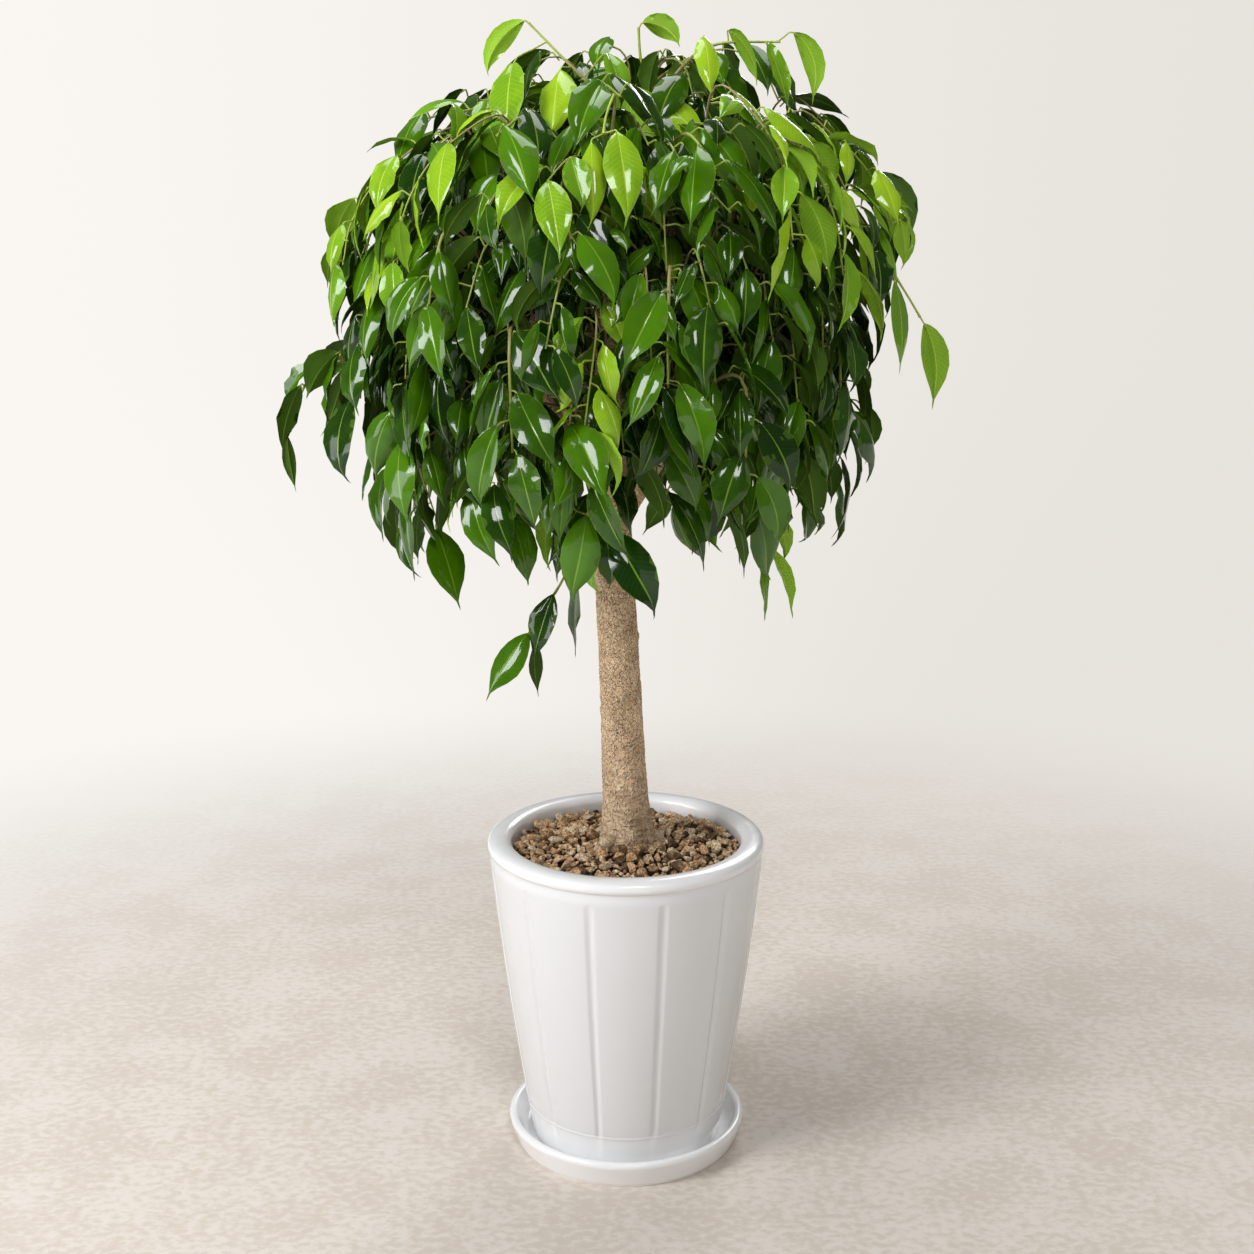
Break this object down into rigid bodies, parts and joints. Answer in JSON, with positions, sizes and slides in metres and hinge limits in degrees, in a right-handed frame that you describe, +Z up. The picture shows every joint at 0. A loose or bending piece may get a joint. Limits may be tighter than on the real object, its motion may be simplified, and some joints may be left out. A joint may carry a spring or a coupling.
{
  "type": "potted weeping fig",
  "caption": "Weeping fig tree with drooping glossy leaves on a single bare trunk, in a tapered grooved white ceramic pot that stands on a shallow round saucer.",
  "frame": {"origin": "middle of the saucer's flat underside, on the surface that the plant stands on", "axes": "+Z up along the trunk, -Y towards the viewer of the picture, +X to the viewer's right"},
  "size_m": [0.66, 0.5704, 1.1945],
  "materials": {
    "saucer_glaze": "gloss",
    "pot_glaze": "gloss",
    "soil": "matte",
    "bark": "matte",
    "leaf": "gloss",
    "young_leaf": "gloss"
  },
  "bodies": {
    "root": {"saucer": "saucer_glaze", "pot": "pot_glaze", "soil": "soil", "trunk": "bark", "shoot_01": "leaf", "shoot_02": "leaf", "shoot_03": "leaf", "shoot_04": "young_leaf", "shoot_05": "leaf", "shoot_06": "leaf", "shoot_07": "leaf", "shoot_08": "leaf", "shoot_09": "leaf", "shoot_10": "leaf", "shoot_11": "leaf", "shoot_12": "young_leaf", "shoot_13": "leaf", "shoot_14": "leaf", "shoot_15": "leaf", "shoot_16": "leaf", "shoot_17": "leaf", "shoot_18": "leaf", "shoot_19": "leaf", "shoot_20": "young_leaf", "shoot_21": "leaf", "shoot_22": "leaf", "shoot_23": "leaf", "shoot_24": "leaf", "shoot_25": "leaf", "shoot_26": "leaf", "shoot_27": "leaf", "shoot_28": "young_leaf", "shoot_29": "leaf", "shoot_30": "leaf", "shoot_31": "leaf", "shoot_32": "leaf", "shoot_33": "leaf", "shoot_34": "leaf", "shoot_35": "leaf", "shoot_36": "young_leaf", "shoot_37": "leaf", "shoot_38": "leaf", "shoot_39": "leaf", "shoot_front_top": "young_leaf", "shoot_long_left": "leaf", "shoot_long_right": "young_leaf", "shoot_low_left": "leaf", "shoot_low_right": "young_leaf", "shoot_top_left": "young_leaf", "shoot_top_middle": "young_leaf", "shoot_top_right": "young_leaf"}
  },
  "joints": []
}
